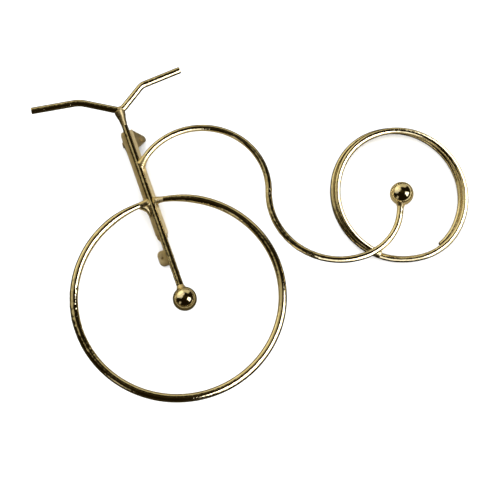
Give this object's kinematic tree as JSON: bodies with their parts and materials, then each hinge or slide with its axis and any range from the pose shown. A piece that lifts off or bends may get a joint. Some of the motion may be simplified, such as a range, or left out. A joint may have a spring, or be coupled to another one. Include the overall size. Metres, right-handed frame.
{
  "type": "wire bicycle brooch",
  "caption": "Gold-tone bent-wire brooch shaped as a high-wheel bicycle with a hooked spine, ball hubs, and a bar pin with hinged stem and turning catch behind the fork.",
  "frame": {"origin": "middle of the footprint of the bounding box, on the surface that the brooch lies on", "axes": "+Z out of the brooch's face, +Y towards the handlebar, +X from the front wheel to the rear wheel"},
  "size_m": [0.0756, 0.0602, 0.005],
  "materials": {
    "wire_gold": "mirror-polished gold plate with fine drawing lines",
    "wheel_gold": "mirror-polished gold plate with light handling scratches",
    "ball_gold": "polished gold plate with small dents and scratches",
    "solder_gold": "gold-plated solder, slightly rippled",
    "finding_gold": "satin gold plate on stamped strip",
    "pin_steel": "drawn spring wire, thinly gold plated"
  },
  "bodies": {
    "brooch": {"handlebar": "wire_gold", "fork_wire": "wire_gold", "front_wheel_ring": "wheel_gold", "spine_wire": "wire_gold", "rear_wheel_ring": "wire_gold", "front_hub_ball": "ball_gold", "rear_hub_ball": "ball_gold", "front_hub_collar": "solder_gold", "rear_hub_collar": "solder_gold", "handlebar_solder": "solder_gold", "wheel_solder_left": "solder_gold", "wheel_solder_right": "solder_gold", "spine_solder": "solder_gold", "crossing_solder": "solder_gold", "bar_seam_solder": "solder_gold", "pin_bar": "finding_gold", "hinge_rivet": "finding_gold", "catch_housing": "finding_gold"},
    "pin_stem": {"pin_stem": "pin_steel"},
    "catch_rotor": {"catch_rotor": "finding_gold"}
  },
  "joints": [
    {"name": "pin_hinge", "type": "hinge", "parent": "brooch", "child": "pin_stem", "pos_m": [-0.02056, 0.01657, 0.00085], "axis": [0.9455, 0.3256, 0], "range_deg": [0, 110]},
    {"name": "catch_turn", "type": "hinge", "parent": "brooch", "child": "catch_rotor", "pos_m": [-0.01373, -0.00328, 0.00085], "axis": [0.3256, -0.9455, 0], "range_deg": [0, 180]}
  ]
}
